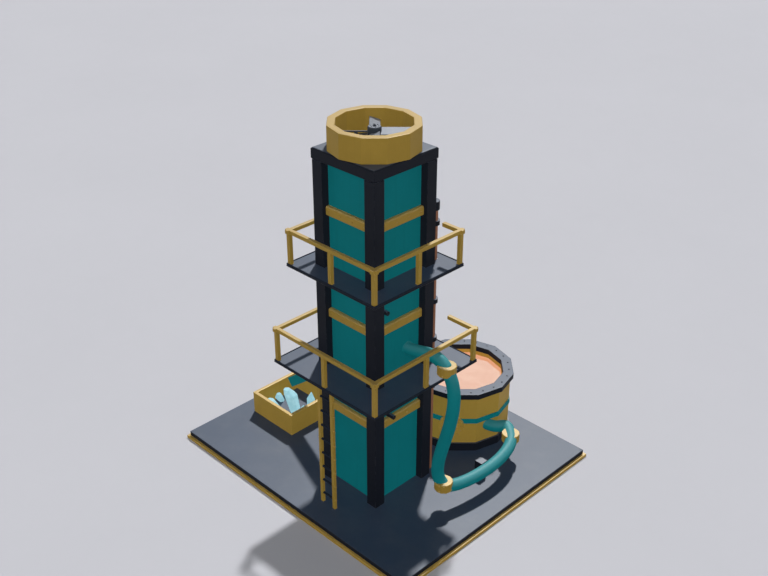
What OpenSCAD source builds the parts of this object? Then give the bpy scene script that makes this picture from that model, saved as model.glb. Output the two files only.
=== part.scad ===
// Distillation column on its skid base: a square cased column with two railed
// platforms and a roof fan, joined by a swept pipe to a twelve-sided vat,
// with a tray of crystals under its discharge chute.
// Millimetres, +Z up. The origin is the middle of the base, on the ground.

/* [Skid base] */
// Length of the deck along X
deck_l = 8550; // [8000:50:9300]
// Width of the deck along Y
deck_w = 7310; // [7200:50:8200]
// Thickness of the deck plate
deck_t = 20; // [12:1:30]
// Height of the dark beams under the deck plate
beam_h = 120; // [90:5:180]
// Width of the beams under the deck plate
beam_w = 110; // [80:5:150]
// Height of the brass sill under the beams
sill_h = 90; // [70:5:120]
// How far the sill stands out past the beams
sill_out = 75; // [50:5:110]
// Number of joists between the two end beams
joist_count = 5; // [3:1:7]

/* [Column] */
// Place of the column along X
column_x = 890; // [700:10:1000]
// Place of the column along Y
column_y = -1205; // [-1300:5:-1150]
// Width over the corner posts
column_w = 2064; // [1960:4:2120]
// Side of a square corner post
post_w = 324; // [280:4:360]
// Wall of a corner post
post_t = 14; // [8:1:20]
// Height of the corner posts
post_h = 9207; // [8800:1:9600]
// How far the wall panels stand back from the posts' outer faces
wall_set = 206; // [180:2:230]
// Thickness of a wall panel
wall_t = 16; // [8:1:24]
// How far the brass bands stand out from the wall panels
band_out = 108; // [80:2:130]
// Chamfer along a band's outer edges
band_edge = 30; // [10:2:34]
// Height of the lower band
band_lower_h = 260; // [180:5:290]
// Height of the middle band
band_middle_h = 248; // [180:1:280]
// Height of the upper band
band_upper_h = 244; // [180:1:280]
// Underside of the lower band above the deck
band_lower_z = 2290; // [2200:5:2500]
// Underside of the middle band above the deck
band_middle_z = 5055; // [4950:5:5200]
// Underside of the upper band above the deck
band_upper_z = 7841; // [7700:1:8000]
// How far the roof cap stands out past the posts
roof_out = 18; // [10:1:40]
// Thickness of the roof cap
roof_t = 304; // [240:1:340]
// Chamfer round the roof cap's edges
roof_edge = 34; // [15:1:50]

/* [Roof fan] */
// Outer radius of the twelve-sided shroud, to its corners
shroud_r = 1129; // [1080:1:1180]
// Wall of the shroud
shroud_t = 199; // [150:1:230]
// Height of the shroud
shroud_h = 623; // [560:1:700]
// Radius of the fan's motor
motor_r = 190; // [160:5:230]
// Height of the fan's motor
motor_h = 230; // [180:5:260]
// Radius of the fan's hub
hub_r = 162; // [140:1:180]
// Height of the fan's hub
hub_h = 265; // [240:5:275]
// Running gap between the motor and the turning hub
fan_gap = 12; // [8:1:20]
// Radius of the fan's shaft
shaft_r = 35; // [25:1:50]
// Running gap round the shaft
shaft_gap = 0.4; // [0.2:0.1:1]
// Tip radius of the blades
blade_r = 870; // [800:5:880]
// Chord of a blade
blade_chord = 270; // [230:5:300]
// Thickness of a blade
blade_t = 30; // [20:1:34]
// Pitch of a blade
blade_pitch = 19; // [12:1:24]
// Chamfer round the top of the hub
hub_edge = 20; // [8:1:30]
// Number of blades
blade_count = 4; // [3:1:6]

/* [Platforms] */
// Half width of the lower platform
lower_half = 1840; // [1770:1:1900]
// Walking surface of the lower platform above the deck
lower_z = 3690; // [3600:5:3800]
// Half width of the upper platform
upper_half = 1532; // [1480:1:1600]
// Walking surface of the upper platform above the deck
upper_z = 6473; // [6350:1:6600]
// Thickness of a platform's plate
plate_t = 12; // [8:1:16]
// Depth of the frame under a platform's plate
frame_h = 74; // [60:2:90]
// Chamfer along the frame's outer edges
frame_edge = 22; // [10:1:26]
// Width of the frame members
frame_w = 80; // [70:2:90]
// Thickness of a knee bracket
bracket_t = 16; // [10:1:24]
// Height of a knee bracket
bracket_h = 330; // [220:10:360]
// Side of a rail post and of the top rail
rail_w = 102; // [80:2:110]
// Height of the lower top rail's middle above the walking surface
lower_rail_h = 913; // [910:1:1000]
// Height of the upper top rail's middle above the walking surface
upper_rail_h = 878; // [850:1:1000]
// How far the rail's axis stands in from the platform's edge
rail_in = 76; // [76:1:95]
// How far the top rails run on past each other at the corners
rail_past = 45; // [20:5:60]
// Half width of the gap in the rail on the back side
rail_gap_half = 895; // [860:5:920]

/* [Ladder] */
// Place of the ladder's middle along X, from the column's axis
ladder_x = 35; // [-100:5:150]
// Distance between the middles of the two stringers
ladder_w = 450; // [400:5:500]
// Side of a stringer
stringer_w = 83; // [70:1:95]
// Distance of the ladder's middle plane in front of the column's axis
ladder_y = 1772; // [1745:1:1776]
// Height of the lowest rung above the deck
rung_first = 296; // [250:1:350]
// Distance between rungs
rung_pitch = 438; // [400:1:445]
// Radius of a rung
rung_r = 20; // [16:1:26]
// How far a rung stands out past the stringers
rung_out = 30; // [15:1:40]

/* [Vat] */
// Place of the vat along X
vat_x = 890; // [850:10:950]
// Place of the vat along Y
vat_y = 2215; // [2180:5:2250]
// Outer radius of the vat's wall, to its corners
vat_r = 1410; // [1380:5:1430]
// Thickness of the vat's wall
vat_t = 60; // [40:2:80]
// Thickness of the vat's floor
vat_floor_t = 20; // [12:1:40]
// Height of the vat to the top of its rim
vat_h = 1920; // [1850:5:2000]
// Outer radius of the top rim
rim_r = 1500; // [1470:5:1520]
// Width of the top rim
rim_w = 300; // [240:5:340]
// Height of the top rim
rim_h = 165; // [130:5:190]
// Height of the curb inside the top of the vat's wall
curb_h = 300; // [200:10:400]
// Height of the foot ring
foot_h = 250; // [200:5:300]
// How far the foot ring stands out
foot_out = 55; // [40:5:80]
// Middle of the teal hoop above the deck
hoop_z = 987; // [950:1:1060]
// Height of the teal hoop
hoop_h = 150; // [120:5:180]
// How far the hoop stands out
hoop_out = 25; // [15:1:35]
// Direction of the vat's port from its axis
port_turn = -58.5; // [-62:0.5:-56]
// Height of the port's middle above the deck
port_z = 826; // [780:2:880]
// Radius of the port's flange, to its corners
port_r = 358; // [320:2:370]
// How far the port's flange stands out past the vat's corners
port_out = 69; // [60:1:90]
// Radius of the port's cover, to its corners
cover_r = 205; // [160:5:240]
// How far the cover stands out past the flange
cover_out = 80; // [50:5:100]

/* [Transfer pipe] */
// Radius of the pipe
pipe_r = 165; // [150:1:180]
// Distance of the pipe's drop from the column's wall
pipe_reach = 1255; // [1240:5:1280]
// Place of the pipe's outlet on the column, from its axis
pipe_y = 300; // [270:5:330]
// Height of the outlet above the deck
pipe_top = 4280; // [4260:5:4290]
// Height of the pipe's run along the deck
pipe_low = 715; // [680:5:740]
// Distance of the vat's inlet from the vat's axis
pipe_in_y = 325; // [300:5:350]
// Radius of a pipe collar
collar_r = 246; // [236:2:260]
// Height of a pipe collar
collar_h = 250; // [240:5:280]
// Side of the block beside the pipe's low run
block_w = 245; // [200:5:280]
// Height of that block
block_h = 460; // [400:5:500]
// Fitting gap between the pipe and a collar
collar_gap = 0.3; // [0.1:0.1:0.5]

/* [Riser] */
// Radius of the copper riser
riser_r = 110; // [90:5:130]
// Place of the riser along X, from the column's axis
riser_x = 790; // [740:5:800]
// Gap between the riser and the posts' faces
riser_gap = 70; // [50:5:90]
// Top of the riser above the deck
riser_top = 7800; // [7700:5:7840]
// Side of the block on top of the riser
cap_w = 270; // [240:5:290]
// Height of the block on top of the riser
cap_h = 190; // [150:5:220]
// Height of a riser clamp
clamp_h = 120; // [80:5:140]
// Wall of a riser clamp
clamp_t = 46; // [30:2:50]

/* [Crystal tray] */
// Place of the tray's middle along X
tray_x = -2890; // [-2950:10:-2800]
// Place of the tray's middle along Y
tray_y = -865; // [-950:5:-800]
// Side of the square tray
tray_w = 1700; // [1600:10:1800]
// Height of the tray
tray_h = 680; // [600:10:740]
// Wall of the tray
tray_t = 100; // [60:2:110]
// Floor of the tray
tray_floor_t = 100; // [40:5:120]

/* [Chute] */
// Width of the chute
chute_w = 420; // [360:10:480]
// Depth of the chute, square to its floor
chute_d = 290; // [240:10:320]
// Thickness of the chute's sheet
chute_t = 16; // [8:1:24]
// How far the chute's mouth reaches from the column's axis
chute_reach = 3600; // [3500:10:3700]
// Height above the deck of the chute's mouth
chute_mouth_z = 1050; // [1000:10:1080]
// Slope of the chute
chute_slope = 38; // [34:0.5:38.5]

/* [Hidden] */

steel = [0.10, 0.11, 0.13];
brass = [0.72, 0.56, 0.25];
teal = [0.05, 0.45, 0.46];
copper = [0.72, 0.42, 0.28];
crystal = [0.62, 0.85, 0.90];

round_fn = 48;
deck_z = sill_h + beam_h + deck_t;
half = column_w / 2;
wall_half = half - wall_set;
band_half = wall_half + band_out;
bay = column_w - 2 * post_w;
roof_half = half + roof_out;
roof_z = deck_z + post_h;
roof_top = roof_z + roof_t;
hub_z = roof_top + motor_h + fan_gap;
seat_gap = 0.3;
wall_apothem = cos(15);
pipe_out_x = column_x + wall_half;
riser_y = half + riser_gap + riser_r;

// Moves its children to the column's axis, on the deck
module at_column() {
    translate([column_x, column_y, deck_z]) children();
}

// Moves its children to the vat's axis, on the deck
module at_vat() {
    translate([vat_x, vat_y, deck_z]) children();
}

// Copies its children to both sides of the plane across an axis
module both(axis) {
    children();
    mirror(axis) children();
}

// A box from its lowest corner, its size and a centre flag for X and Y
module slab(x, y, z, at = [0, 0, 0]) {
    translate([at.x - x / 2, at.y - y / 2, at.z]) cube([x, y, z]);
}

// A twelve-sided ring with its corners at radius r
module ring12(r, t, h) {
    linear_extrude(h) difference() {
        circle(r = r, $fn = 12);
        circle(r = r - t, $fn = 12);
    }
}

// Base

sill_half_l = deck_l / 2 + sill_out;
sill_half_w = deck_w / 2 + sill_out;
sill_w = beam_w + sill_out;

module base_sill_sides() {
    color(brass) both([0, 1, 0])
        translate([-sill_half_l, sill_half_w - sill_w, 0])
            cube([2 * sill_half_l, sill_w, sill_h]);
}

module base_sill_ends() {
    color(brass) both([1, 0, 0])
        translate([sill_half_l - sill_w, -sill_half_w + sill_w, 0])
            cube([sill_w, 2 * (sill_half_w - sill_w), sill_h]);
}

module base_beams_sides() {
    color(steel) both([0, 1, 0])
        translate([-deck_l / 2, deck_w / 2 - beam_w, sill_h])
            cube([deck_l, beam_w, beam_h]);
}

module base_beams_ends() {
    color(steel) both([1, 0, 0])
        translate([deck_l / 2 - beam_w, -deck_w / 2 + beam_w, sill_h])
            cube([beam_w, deck_w - 2 * beam_w, beam_h]);
}

module base_joists() {
    inner = deck_l - 2 * beam_w;
    for (i = [1 : joist_count])
        color(steel)
            slab(beam_w, deck_w - 2 * beam_w, sill_h + beam_h,
                 [-inner / 2 + i * inner / (joist_count + 1), 0, 0]);
}

module deck_plate() {
    color(steel) slab(deck_l, deck_w, deck_t, [0, 0, sill_h + beam_h]);
}

// Column

// The four hollow posts, one at each corner
module corner_posts() {
    at_column() color(steel) for (turn = [0 : 3]) rotate(90 * turn)
        translate([half - post_w / 2, half - post_w / 2, 0])
            linear_extrude(post_h) difference() {
                square(post_w, center = true);
                square(post_w - 2 * post_t, center = true);
            }
}

// One wall panel between two posts; turn counts quarter turns from the right
module wall(turn) {
    at_column() color(teal) rotate(90 * turn)
        translate([wall_half - wall_t, -bay / 2, 0]) cube([wall_t, bay, post_h]);
}

module wall_right() { wall(0); }
module wall_back() { wall(1); }
module wall_left() { wall(2); }
module wall_front() { wall(3); }

// Four chamfered bars, one on each wall panel
module band(z, h) {
    at_column() color(brass) for (turn = [0 : 3]) rotate(90 * turn)
        translate([wall_half, bay / 2, z]) rotate([90, 0, 0])
            linear_extrude(bay) polygon([
                [0, 0], [band_out - band_edge, 0], [band_out, band_edge],
                [band_out, h - band_edge], [band_out - band_edge, h], [0, h]
            ]);
}

module band_lower() { band(band_lower_z, band_lower_h); }
module band_middle() { band(band_middle_z, band_middle_h); }
module band_upper() { band(band_upper_z, band_upper_h); }

// The roof cap's outline from the side, chamfered at each corner
module roof_outline() {
    polygon([
        [-roof_half + roof_edge, 0], [roof_half - roof_edge, 0],
        [roof_half, roof_edge], [roof_half, roof_t - roof_edge],
        [roof_half - roof_edge, roof_t], [-roof_half + roof_edge, roof_t],
        [-roof_half, roof_t - roof_edge], [-roof_half, roof_edge]
    ]);
}

module roof_cap() {
    at_column() color(steel) translate([0, 0, post_h]) intersection() {
        rotate([90, 0, 0]) linear_extrude(2 * roof_half, center = true)
            roof_outline();
        rotate([90, 0, 90]) linear_extrude(2 * roof_half, center = true)
            roof_outline();
    }
}

// Roof fan

module fan_shroud() {
    color(brass) translate([column_x, column_y, roof_top])
        ring12(shroud_r, shroud_t, shroud_h);
}

module fan_motor() {
    color(steel) translate([column_x, column_y, roof_top]) difference() {
        cylinder(h = motor_h, r = motor_r, $fn = round_fn);
        translate([0, 0, motor_h / 2])
            cylinder(h = motor_h, r = shaft_r + shaft_gap, $fn = round_fn);
    }
}

module fan_hub() {
    color(steel) translate([column_x, column_y, hub_z]) {
        rotate_extrude($fn = round_fn) polygon([
            [0, 0], [hub_r, 0], [hub_r, hub_h - hub_edge],
            [hub_r - hub_edge, hub_h], [0, hub_h]
        ]);
        translate([0, 0, -motor_h / 2])
            cylinder(h = motor_h / 2 + 1, r = shaft_r, $fn = round_fn);
    }
}

// A flat blade along X, its leading edge raised, with its root inside the hub
module blade() {
    root = hub_r - 20;
    translate([root, 0, 0]) rotate([blade_pitch, 0, 0])
        translate([0, -blade_chord / 2, -blade_t / 2])
            cube([blade_r - root, blade_chord, blade_t]);
}

module fan_blades() {
    color(steel) translate([column_x, column_y, hub_z + hub_h / 2])
        difference() {
            for (i = [0 : blade_count - 1])
                rotate(45 + i * 360 / blade_count) blade();
            cylinder(h = 2 * hub_h, r = hub_r + seat_gap, center = true,
                     $fn = round_fn);
        }
}

// Platforms

module platform_plate(reach, z) {
    at_column() color(steel) translate([0, 0, z - plate_t])
        linear_extrude(plate_t) difference() {
            square(2 * (reach - frame_edge), center = true);
            square(2 * wall_half, center = true);
            for (turn = [0 : 3]) rotate(90 * turn)
                translate([half - post_w / 2, half - post_w / 2])
                    square(post_w, center = true);
            riser_notch();
        }
}

// The riser's way through a platform's plate
module riser_notch() {
    translate([riser_x, riser_y]) circle(r = riser_r + 12, $fn = round_fn);
}

// The frame's outline from the side, chamfered along its outer edges
module frame_outline(reach) {
    polygon([
        [-reach + frame_edge, 0], [reach - frame_edge, 0],
        [reach, frame_edge], [reach, frame_h - frame_edge],
        [reach - frame_edge, frame_h], [-reach + frame_edge, frame_h],
        [-reach, frame_h - frame_edge], [-reach, frame_edge]
    ]);
}

// The edge frame, two bearers a side and a knee bracket under each bearer
module platform_frame(reach, z) {
    bearer_at = half - frame_w / 2 - 40;
    out = reach - half;
    at_column() color(steel) translate([0, 0, z - plate_t - frame_h]) {
        difference() {
            intersection() {
                rotate([90, 0, 0]) linear_extrude(2 * reach, center = true)
                    frame_outline(reach);
                rotate([90, 0, 90]) linear_extrude(2 * reach, center = true)
                    frame_outline(reach);
            }
            translate([0, 0, -1]) linear_extrude(frame_h + 2)
                square(2 * (reach - frame_w), center = true);
        }
        for (turn = [0 : 3]) rotate(90 * turn)
            for (side = [-1, 1]) translate([half, side * bearer_at, 0]) {
                translate([0, -frame_w / 2, 0])
                    cube([out - frame_w / 2, frame_w, frame_h]);
                translate([0, bracket_t / 2, 0]) rotate([90, 0, 0])
                    linear_extrude(bracket_t) polygon([
                        [0, 0], [0.8 * out, 0], [0.8 * out, -40],
                        [60, -bracket_h], [0, -bracket_h]
                    ]);
            }
    }
}

// Square rail posts at the corners and at the middle of three sides
module rail_posts(reach, z, high) {
    axis = reach - rail_in;
    height = high - rail_w / 2;
    places = [
        [-axis, -axis], [axis, -axis], [-axis, axis], [axis, axis],
        [0, -axis], [-axis, 0], [axis, 0]
    ];
    at_column() color(brass) for (p = places)
        slab(rail_w, rail_w, height, [p.x, p.y, z]);
}

// The top rail on three sides and its two short returns at the back; the bars
// lap at the corners and run on a little past each other
module rail_bars(reach, z, high) {
    axis = reach - rail_in;
    level = z + high - rail_w / 2;
    long = 2 * (axis + rail_w / 2 + rail_past);
    back = long / 2 - rail_gap_half;
    at_column() color(brass) {
        slab(long, rail_w, rail_w, [0, -axis, level]);
        both([1, 0, 0]) slab(rail_w, long, rail_w, [axis, 0, level]);
        both([1, 0, 0])
            slab(back, rail_w, rail_w,
                 [rail_gap_half + back / 2, axis, level]);
    }
}

module lower_platform_plate() { platform_plate(lower_half, lower_z); }
module lower_platform_frame() { platform_frame(lower_half, lower_z); }
module lower_rail_posts() { rail_posts(lower_half, lower_z, lower_rail_h); }
module lower_rail_bars() { rail_bars(lower_half, lower_z, lower_rail_h); }
module upper_platform_plate() { platform_plate(upper_half, upper_z); }
module upper_platform_frame() { platform_frame(upper_half, upper_z); }
module upper_rail_posts() { rail_posts(upper_half, upper_z, upper_rail_h); }
module upper_rail_bars() { rail_bars(upper_half, upper_z, upper_rail_h); }

// Ladder

stringer_h = lower_z - plate_t - frame_h;
rung_l = ladder_w + stringer_w + 2 * rung_out;
// As many rungs as fit under the platform's frame
rung_room = stringer_h - rung_first - 2 * rung_r;
rung_last = floor(rung_room / rung_pitch);

module rungs(r) {
    for (i = [0 : rung_last])
        translate([ladder_x - rung_l / 2, -ladder_y, rung_first + i * rung_pitch])
            rotate([0, 90, 0]) cylinder(h = rung_l, r = r, $fn = 24);
}

module ladder_stringers() {
    at_column() color(brass) difference() {
        for (side = [-1, 1])
            slab(stringer_w, stringer_w, stringer_h,
                 [ladder_x + side * ladder_w / 2, -ladder_y, 0]);
        rungs(rung_r + seat_gap);
    }
}

module ladder_rungs() {
    at_column() color(steel) rungs(rung_r);
}

// Vat

module vat_floor() {
    at_vat() color(steel) linear_extrude(vat_floor_t)
        circle(r = vat_r, $fn = 12);
}

// The wall, with a thick curb inside its top, flush with the rim's inner face
module vat_wall() {
    wall_top = vat_h - rim_h;
    at_vat() color(brass) {
        translate([0, 0, vat_floor_t])
            ring12(vat_r, vat_t, wall_top - vat_floor_t);
        translate([0, 0, wall_top - curb_h])
            ring12(vat_r - vat_t / 2, vat_r - vat_t / 2 - rim_r + rim_w, curb_h);
    }
}

module vat_foot_ring() {
    at_vat() color(steel) ring12(vat_r + foot_out, foot_out, foot_h);
}

module vat_rim() {
    at_vat() color(steel) translate([0, 0, vat_h - rim_h])
        ring12(rim_r, rim_w, rim_h);
}

module vat_hoop() {
    at_vat() color(teal) translate([0, 0, hoop_z - hoop_h / 2])
        ring12(vat_r + hoop_out, hoop_out, hoop_h);
}

// A twelve-sided port with its stepped cover, over one corner of the vat; the
// hoop lies in a slot behind its flange
module vat_port() {
    flange = vat_r + port_out;
    at_vat() color(brass) difference() {
        rotate(port_turn) translate([0, 0, port_z]) rotate([0, 90, 0]) {
            cylinder(h = flange, r = port_r, $fn = 12);
            cylinder(h = flange + cover_out, r = cover_r, $fn = 12);
        }
        linear_extrude(vat_h) circle(r = vat_r, $fn = 12);
        translate([0, 0, hoop_z - hoop_h / 2]) linear_extrude(hoop_h)
            circle(r = vat_r + hoop_out, $fn = 12);
    }
}

// Transfer pipe: a tube swept along smooth curves from corner to corner

drop_x = pipe_out_x + pipe_reach;
inlet_y = vat_y - pipe_in_y;
inlet_x = vat_x + vat_r - 180;
collar_fall = 110;
collar_side = 100;
run_out = 105;
run_past = 55;
run_rise = 20;
route = [
    [pipe_out_x, column_y + pipe_y, deck_z + pipe_top],
    [drop_x, column_y + pipe_y + collar_side, deck_z + pipe_top - collar_fall],
    [drop_x + run_out, column_y + pipe_y, deck_z + pipe_low],
    [drop_x + run_rise, inlet_y + run_past, deck_z + pipe_low - run_rise],
    [inlet_x, inlet_y, deck_z + pipe_low + run_rise]
];
// Direction and strength of the curve where it arrives at each corner
pull_in = [
    [0, 0, 0], [1300, -40, -1190], [1615, 825, -1620], [-2090, 1920, 125],
    [-1930, 0, 0]
];
// The same where it leaves the corner again
pull_out = [
    [1400, 0, 0], [2720, -85, -2740], 0.42 * pull_in[2], 0.91 * pull_in[3]
];
pipe_steps = 14;
pipe_sides = 12;

function blend(a, b, ma, mb, t) =
    (2 * t ^ 3 - 3 * t ^ 2 + 1) * a + (t ^ 3 - 2 * t ^ 2 + t) * ma
    + (-2 * t ^ 3 + 3 * t ^ 2) * b + (t ^ 3 - t ^ 2) * mb;
function heading(a, b, ma, mb, t) =
    (6 * t ^ 2 - 6 * t) * (a - b) + (3 * t ^ 2 - 4 * t + 1) * ma
    + (3 * t ^ 2 - 2 * t) * mb;
function unit(v) = v / norm(v);
function marks(first, last) = [
    for (k = [first : last]) for (i = [0 : pipe_steps - 1]) [k, i / pipe_steps],
    [last, 1]
];
function centres(first, last) = [for (m = marks(first, last))
    blend(route[m[0]], route[m[0] + 1], pull_out[m[0]], pull_in[m[0] + 1], m[1])];
function headings(first, last) = [for (m = marks(first, last))
    unit(heading(route[m[0]], route[m[0] + 1], pull_out[m[0]], pull_in[m[0] + 1],
                 m[1]))];

// Each ring's side vector, carried along so that the tube doesn't twist
function sideways(way, i = 0, v = [0, 1, 0]) =
    i == len(way) ? []
    : let (w = unit(v - (v * way[i]) * way[i])) concat([w], sideways(way, i + 1, w));

// The bare tube between two corners of the route
module tube(first, last) {
    centre = centres(first, last);
    way = headings(first, last);
    side = sideways(way);
    end = len(centre) - 1;
    rings = [for (i = [0 : end]) for (j = [0 : pipe_sides - 1])
        let (a = 360 * j / pipe_sides)
        centre[i] + pipe_r * (cos(a) * side[i] + sin(a) * cross(way[i], side[i]))];
    walls = [for (i = [0 : end - 1]) for (j = [0 : pipe_sides - 1])
        let (a = i * pipe_sides + j,
             b = i * pipe_sides + (j + 1) % pipe_sides)
        [a, b, b + pipe_sides, a + pipe_sides]];
    caps = [
        [for (j = [pipe_sides - 1 : -1 : 0]) j],
        [for (j = [0 : pipe_sides - 1]) end * pipe_sides + j]
    ];
    polyhedron(points = rings, faces = concat(walls, caps), convexity = 6);
}

// The three twelve-sided collars, each grown by a gap all round
module collars(gap) {
    for (k = [1 : 3])
        translate(route[k] - [0, 0, collar_h / 2 + gap])
            cylinder(h = collar_h + 2 * gap, r = collar_r + gap, $fn = 12);
}

// A stretch of the pipe, cut to its seats in the collars and at the vat
module stretch(first, last) {
    color(teal) difference() {
        tube(first, last);
        collars(collar_gap);
        at_vat() linear_extrude(vat_h) circle(r = vat_r + collar_gap, $fn = 12);
    }
}

module pipe_outlet() { stretch(0, 0); }
module pipe_drop() { stretch(1, 1); }
module pipe_run() { stretch(2, 3); }

module pipe_collars() {
    color(brass) collars(0);
}

// The block beside the pipe's low run
block_x = drop_x - 50;
block_y = column_y + pipe_y + 1700;
module pipe_block() {
    color(steel) slab(block_w, block_w, block_h, [block_x, block_y, deck_z]);
}

// Short nozzles on the column's right wall, under each platform
nozzle_r = 60;
nozzle_y = -610;
nozzle_lower = [2830, 450];
nozzle_upper = [5740, 230];

module wall_nozzles() {
    at_column() color(steel)
        for (n = [nozzle_lower, nozzle_upper])
            translate([wall_half, nozzle_y, n[0]]) rotate([0, 90, 0])
                cylinder(h = n[1], r = nozzle_r, $fn = 24);
}

// Riser

module riser_pipe() {
    at_column() color(copper) translate([riser_x, riser_y, 0])
        cylinder(h = riser_top, r = riser_r, $fn = round_fn);
}

// Levels of the clamps, as shares of the riser's height
clamp_shares = [0.346, 0.528, 0.671, 0.949];

module riser_clamps() {
    at_column() color(steel) for (share = clamp_shares)
        translate([riser_x, riser_y, share * riser_top]) difference() {
            union() {
                cylinder(h = clamp_h, r = riser_r + clamp_t, $fn = round_fn);
                translate([-60, -riser_gap - riser_r, 0])
                    cube([120, riser_gap + riser_r, clamp_h]);
            }
            translate([0, 0, -1])
                cylinder(h = clamp_h + 2, r = riser_r + seat_gap,
                         $fn = round_fn);
        }
}

module riser_cap() {
    at_column() color(steel)
        slab(cap_w, cap_w, cap_h, [riser_x, riser_y, riser_top]);
}

// Crystal tray

module tray_floor() {
    color(steel) slab(tray_w - 2 * tray_t, tray_w - 2 * tray_t, tray_floor_t,
                      [tray_x, tray_y, deck_z]);
}

module tray_walls() {
    inner = tray_w - 2 * tray_t;
    color(brass) translate([tray_x, tray_y, deck_z]) linear_extrude(tray_h)
        difference() {
            square(tray_w, center = true);
            square(inner, center = true);
        }
}

// One six-sided crystal from its root over its shoulder to its point; places
// are from the middle of the tray's floor, at the crystals' own scale
module crystal_shard(root, shoulder, point, r, turn) {
    way = shoulder - root;
    stand = [0, acos(way.z / norm(way)), atan2(way.y, way.x)];
    hull() {
        translate(root) rotate(stand) rotate(turn)
            cylinder(h = 2, r = 0.8 * r, $fn = 6);
        translate(shoulder) rotate(stand) rotate(turn)
            cylinder(h = 2, r = r, $fn = 6);
        translate(point) rotate(stand) cylinder(h = 2, r = 6, $fn = 6);
    }
}

// The five crystals, grown with the tray and kept clear of its walls
crystal_gap = 3;
module crystals() {
    inner = tray_w - 2 * tray_t;
    grown = inner / 1500;
    color(crystal) translate([tray_x, tray_y, deck_z + tray_floor_t])
        intersection() {
            scale(grown) union() {
                crystal_shard([231, -158, 0], [-52, -98, 621],
                              [-262, -133, 693], 206, 47);
                crystal_shard([81, -232, 0], [-316, -346, 478],
                              [-407, -295, 521], 95, 50);
                crystal_shard([262, -519, 0], [-414, -635, 424],
                              [-480, -604, 410], 146, 43);
                crystal_shard([445, 249, 0], [472, 234, 479],
                              [472, 268, 692], 127, 29);
                crystal_shard([600, -190, 0], [645, -205, 430],
                              [668, -215, 550], 80, 10);
            }
            slab(inner - 2 * crystal_gap, inner - 2 * crystal_gap, tray_w);
        }
}

// Chute: an open channel that slopes from the left wall down to the tray

module chute() {
    run = chute_reach - wall_half;
    rise = tan(chute_slope);
    deep = chute_d / cos(chute_slope);
    sheet = chute_t / cos(chute_slope);
    past = 2 * chute_d;
    start = run * rise;
    at_column() color(teal)
        translate([-wall_half, tray_y - column_y, chute_mouth_z])
            rotate([90, 0, 180]) difference() {
                translate([0, 0, -chute_w / 2]) linear_extrude(chute_w)
                    polygon([
                        [0, start], [run, 0],
                        [run + chute_d * sin(chute_slope),
                         chute_d * cos(chute_slope)],
                        [0, start + deep]
                    ]);
                translate([0, 0, -chute_w / 2 + chute_t])
                    linear_extrude(chute_w - 2 * chute_t) polygon([
                        [-past, start + past * rise + sheet],
                        [run + past, -past * rise + sheet],
                        [run + past, -past * rise + 2 * deep],
                        [-past, start + past * rise + 2 * deep]
                    ]);
            }
}

base_sill_sides();
base_sill_ends();
base_beams_sides();
base_beams_ends();
base_joists();
deck_plate();
corner_posts();
wall_front();
wall_back();
wall_left();
wall_right();
band_lower();
band_middle();
band_upper();
roof_cap();
fan_shroud();
fan_motor();
fan_hub();
fan_blades();
lower_platform_plate();
lower_platform_frame();
lower_rail_posts();
lower_rail_bars();
upper_platform_plate();
upper_platform_frame();
upper_rail_posts();
upper_rail_bars();
ladder_stringers();
ladder_rungs();
vat_floor();
vat_wall();
vat_foot_ring();
vat_rim();
vat_hoop();
vat_port();
pipe_outlet();
pipe_drop();
pipe_run();
pipe_collars();
pipe_block();
wall_nozzles();
riser_pipe();
riser_clamps();
riser_cap();
tray_floor();
tray_walls();
crystals();
chute();
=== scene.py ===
import math

import bmesh
import bpy
from mathutils import Matrix, Vector


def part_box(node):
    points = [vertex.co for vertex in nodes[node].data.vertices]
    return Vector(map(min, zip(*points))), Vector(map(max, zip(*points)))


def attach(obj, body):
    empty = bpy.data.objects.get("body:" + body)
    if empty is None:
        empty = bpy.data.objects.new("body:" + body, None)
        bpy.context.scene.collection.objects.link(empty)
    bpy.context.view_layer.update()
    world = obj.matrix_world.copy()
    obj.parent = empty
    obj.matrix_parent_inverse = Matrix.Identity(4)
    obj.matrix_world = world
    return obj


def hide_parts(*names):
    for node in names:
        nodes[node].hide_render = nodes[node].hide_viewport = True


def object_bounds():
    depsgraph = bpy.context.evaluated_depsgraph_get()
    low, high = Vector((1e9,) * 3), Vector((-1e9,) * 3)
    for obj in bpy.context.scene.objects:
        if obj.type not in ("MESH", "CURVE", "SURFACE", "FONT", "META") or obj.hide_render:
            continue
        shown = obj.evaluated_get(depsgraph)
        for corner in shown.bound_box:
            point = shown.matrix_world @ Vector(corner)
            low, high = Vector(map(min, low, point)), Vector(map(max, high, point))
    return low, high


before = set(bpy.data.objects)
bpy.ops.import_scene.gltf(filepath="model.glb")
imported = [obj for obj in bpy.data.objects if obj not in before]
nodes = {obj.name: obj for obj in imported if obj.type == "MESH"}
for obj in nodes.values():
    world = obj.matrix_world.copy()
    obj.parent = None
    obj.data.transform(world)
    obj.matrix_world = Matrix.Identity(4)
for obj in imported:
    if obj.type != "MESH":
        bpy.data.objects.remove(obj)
cad_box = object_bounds()
scene = bpy.context.scene

# Places taken from the frame, in metres
deck_low, deck_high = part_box("deck_plate")
deck_z = deck_high.z
post_low, post_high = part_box("corner_posts")
column = Vector(((post_low.x + post_high.x) / 2, (post_low.y + post_high.y) / 2, deck_z))
wall_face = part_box("wall_right")[1].x - column.x
bay_half = (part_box("wall_right")[1].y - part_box("wall_right")[0].y) / 2
vat_low, vat_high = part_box("vat_wall")
vat = Vector(((vat_low.x + vat_high.x) / 2, (vat_low.y + vat_high.y) / 2, deck_z))
vat_r = (vat_high.x - vat_low.x) / 2
rim_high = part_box("vat_rim")[1]
rim_r = rim_high.x - vat.x
tray_low, tray_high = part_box("tray_walls")

up = Vector((0, 0, 1))
right = Vector((1, 0, 0))

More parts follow.
